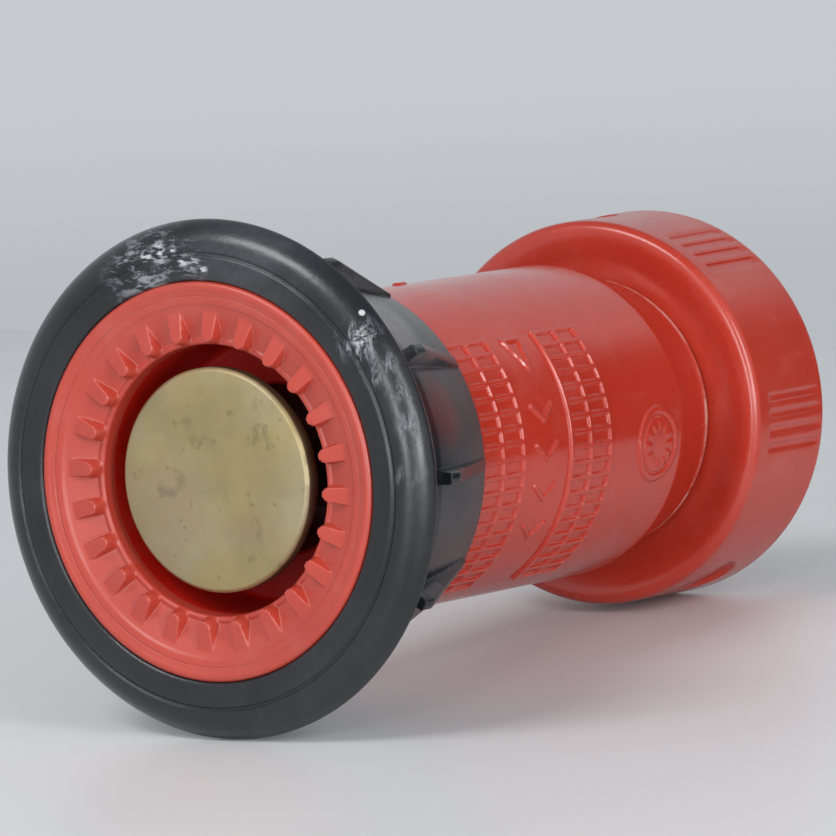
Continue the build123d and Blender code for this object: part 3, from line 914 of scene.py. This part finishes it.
def ridge_relief(clock, height):
    """Height of the three helical ridges that the barrel screws along."""
    turn = (height / screw_lead + clock / 360) * screw_starts % 1.0
    across = (turn - 0.5) * screw_lead / screw_starts
    ends = box_step(height - screw_middle, screw_half_length, 1.0)
    return box_step(across, ridge_half_width, 0.3) * ends * ridge_height


def make_inlet_base():
    """Hose coupling and spigot, moulded in one piece."""
    spigot_radius, front_bore, rear_bore = 20.0, 15.2, 16.0
    snap_ring_groove, gasket_radius, gasket_floor = 16.85, 25.9, 17.4
    across_groove = (-1.55, -1.3, -1.05, -0.75, 0, 0.75, 1.05, 1.3, 1.55)
    feature_lines = [middle + offset for middle in groove_middles() for offset in across_groove]
    for middle in recess_clocks:
        feature_lines += list(middle + np.arange(-10.5, 10.6, 0.5))

    heel = arc((33.7, 0), (34.2, 0.12), (coupling_side(0.8), 0.8), 5)
    side_heights = list(np.arange(1.2, 5.4, 1.0)) + list(np.arange(5.6, 17.6, 0.3))
    side_heights += [18.0, 18.4, 18.7, 19.0, 19.2, 20.5]
    side = [(coupling_side(height), height) for height in side_heights]
    crown_end, dish_middle = (32.1, 23.27), (30.2, 22.95)
    crown = arc((coupling_side(21.3), 21.3), (33.25, 22.82), crown_end, 10)
    dish = arc(crown_end, (31.1, 23.17), dish_middle, 6)
    dish += arc(dish_middle, (28.9, 22.55), (27.7, 22.1), 7)
    dish += [(26.4, 21.6), (22.5, 21.55), (spigot_radius, 21.6)]
    ridge_rows = [(screw_root, height) for height in np.arange(71.5, 29.4, -0.75)]
    spigot = [(spigot_radius, 28.7)] + ridge_rows[::-1]
    spigot += [(spigot_radius, height) for height in (72.3, 86.0, 100.7)]
    spigot += [(spigot_radius - 0.8, 101.5), (rear_bore, 101.5)]
    waterway = [
        (front_bore, 100.7), (front_bore, 84.0), (front_bore, 67.5), (rear_bore, 67.5),
        (rear_bore, 59.5), (snap_ring_groove, 59.5), (snap_ring_groove, 58.1), (rear_bore, 58.1),
        (rear_bore, 38.0), (rear_bore, gasket_floor),
    ]
    thread_rows = [(thread_crest, height) for height in np.arange(thread_end, 0.3, -thread_pitch / 12)]
    inlet = [(gasket_radius, gasket_floor), (gasket_radius, thread_end + 0.02)] + thread_rows
    inlet += [(thread_crest, 0.25), (24.15, 0.0), (28.0, 0.0)]
    profile = outline(heel, side, crown, dish, spigot, waterway, inlet)

    radius, clock, height = point_table(profile, clocks(feature_lines, 3.0))
    outer = (radius > side_inner) & (height < side_end)
    grooved = np.where(outer, radius - groove_relief(clock, height), radius)
    radius = np.where(outer, recess_relief(grooved, clock, height), radius)
    thread = (np.abs(radius - thread_crest) < 0.01) & (height < thread_end)
    radius = radius + np.where(thread, thread_relief(clock, height), 0.0)
    ridge = (np.abs(radius - screw_root) < 0.01) & (height < 72.0)
    radius = radius + np.where(ridge, ridge_relief(clock, height), 0.0)
    points = place(radius, clock, nozzle_length - height)
    return sheet_of_quads("coupling_and_spigot", points, coupling_plastic)


# ------------------------------------------------------------------- pieces

stand_in(make_barrel(), "barrel", "barrel")
stand_in(make_fog_ring(), "barrel", "fog_ring")
stand_in(make_bumper(), "barrel", "bumper")
stand_in(make_head(), "base", "baffle_head")
stand_in(make_inlet_base(), "base", "inlet_base")

dress = {
    brass: ("baffle_stem", "stem_spider", "stem_nut", "seal_clamp_washer"),
    seals: ("hose_gasket", "shutoff_seal", "barrel_o_ring_front", "barrel_o_ring_rear"),
    steel: ("spider_snap_ring", "stem_washer", "stem_lock_washer"),
}
for material, node_names in dress.items():
    for node_name in node_names:
        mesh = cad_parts[node_name].data
        mesh.materials.clear()
        mesh.materials.append(material)


# ------------------------------------------------------------- table, light

SKY_FRONT = (0.62, 0.64, 0.67)
SKY_BEHIND = (0.60, 0.62, 0.65)
SKY_ABOVE = (0.22, 0.23, 0.24)
SKY_DARK = (0.05, 0.05, 0.055)
BACKDROP_LOW = (0.475, 0.50, 0.53)
BACKDROP_HIGH = (0.565, 0.59, 0.62)
UP = (0, 0, 1)
BEHIND = (-0.35, 0.93, 0.15)
DARK_AIM = (0.62, 0.78, 0.10)

# Places on the table in metres: far left, the far corner, right, and the two near corners.
table_corners = ((-2.4, 0.87), (-0.10, 0.348), (2.4, -2.15), (2.4, -3.0), (-2.4, -3.0))

# Name, place, aim, width and height in metres, and power in watts.
lights = (
    ("key", (-0.25, -0.95, 1.0), (0, -0.07, 0), 0.7, 0.35, 6.2),
    ("near_fill", (0.52, -1.45, 0.24), (0, -0.07, 0), 0.22, 0.9, 6.8),
    ("side_fill", (1.25, -0.62, 0.42), (0, -0.07, 0), 0.25, 0.9, 7.2),
    ("low_fill", (0.95, -0.70, 0.05), (0, -0.05, -0.01), 0.6, 0.16, 1.8),
)


def table_top():
    """Pale table that touches the bumper and the coupling, with its far corner behind the nozzle."""
    bumper_low = Vector((0, mouth_y + 3.4 * MM, -bumper_radius * MM))
    coupling_low = Vector((0, -1.0 * MM, -coupling_radius * MM))
    rise = (coupling_low - bumper_low) / (coupling_low.y - bumper_low.y)
    corners = []
    for x, y in table_corners:
        corners.append(tuple(bumper_low + rise * (y - bumper_low.y) + Vector((x, 0, 0))))
    mesh = bpy.data.meshes.new("table_top")
    mesh.from_pydata(corners, [], [(4, 3, 2, 1, 0)])
    mesh.materials.append(table_paint("table_paint"))
    table = bpy.data.objects.new("table_top", mesh)
    bpy.context.scene.collection.objects.link(table)


def soft_light(name, spot, aim, width, height, watts):
    """Rectangular lamp that faces an aim."""
    lamp = bpy.data.lights.new(name, "AREA")
    lamp.shape = "RECTANGLE"
    lamp.size = width
    lamp.size_y = height
    lamp.energy = watts
    light = bpy.data.objects.new(name, lamp)
    light.location = spot
    light.rotation_mode = "QUATERNION"
    light.rotation_quaternion = (Vector(aim) - Vector(spot)).to_track_quat("-Z", "Y")
    bpy.context.scene.collection.objects.link(light)


def studio_sky():
    """Pale sky, dimmer overhead and dark to the far right; the camera sees a plain pale backdrop."""
    world = bpy.data.worlds.new("soft_sky")
    bpy.context.scene.world = world
    world.use_nodes = True
    n = Nodes(world.node_tree)
    direction = n.add("ShaderNodeTexCoord").outputs["Generated"]

    def toward(aim, low, high):
        """1 in directions close to an aim and 0 far from it."""
        dot = n.add("ShaderNodeVectorMath", operation="DOT_PRODUCT")
        n.link(direction, dot.inputs[0])
        dot.inputs[1].default_value = Vector(aim).normalized()
        return n.ramp(dot.outputs["Value"], low, high)

    sky = n.mix(toward(BEHIND, -0.2, 0.75), SKY_FRONT, SKY_BEHIND)
    sky = n.mix(toward(UP, 0.45, 0.9), sky, SKY_ABOVE)
    sky = n.mix(toward(DARK_AIM, 0.82, 0.96), sky, SKY_DARK)
    backdrop = n.mix(toward(UP, -0.056, 0.0), BACKDROP_LOW, BACKDROP_HIGH)
    seen = n.add("ShaderNodeLightPath").outputs["Is Camera Ray"]
    background = n.add("ShaderNodeBackground")
    n.link(n.mix(seen, sky, backdrop), background.inputs["Color"])
    output = n.add("ShaderNodeOutputWorld")
    n.link(background.outputs[0], output.inputs["Surface"])


def camera():
    """Long lens in front of the mouth, to the right and a little above the axis."""
    data = bpy.data.cameras.new("view")
    data.sensor_width = 36
    data.lens = 193.8
    data.clip_start = 0.05
    data.clip_end = 50
    right = Vector((0.8378, 0.5436, -0.0505)).normalized()
    forward = Vector((-0.5459, 0.8342, -0.0775))
    forward = (forward - right * forward.dot(right)).normalized()
    turn = Matrix((right, right.cross(forward), -forward)).transposed()
    from_mouth = Vector((407.2, -560.5, 62.1)) * MM
    eye = bpy.data.objects.new("view", data)
    eye.matrix_world = Matrix.Translation(Vector((0, mouth_y, 0)) + from_mouth) @ turn.to_4x4()
    bpy.context.scene.collection.objects.link(eye)
    bpy.context.scene.camera = eye


table_top()
for light in lights:
    soft_light(*light)
studio_sky()
camera()
bpy.context.scene.view_settings.view_transform = "Standard"
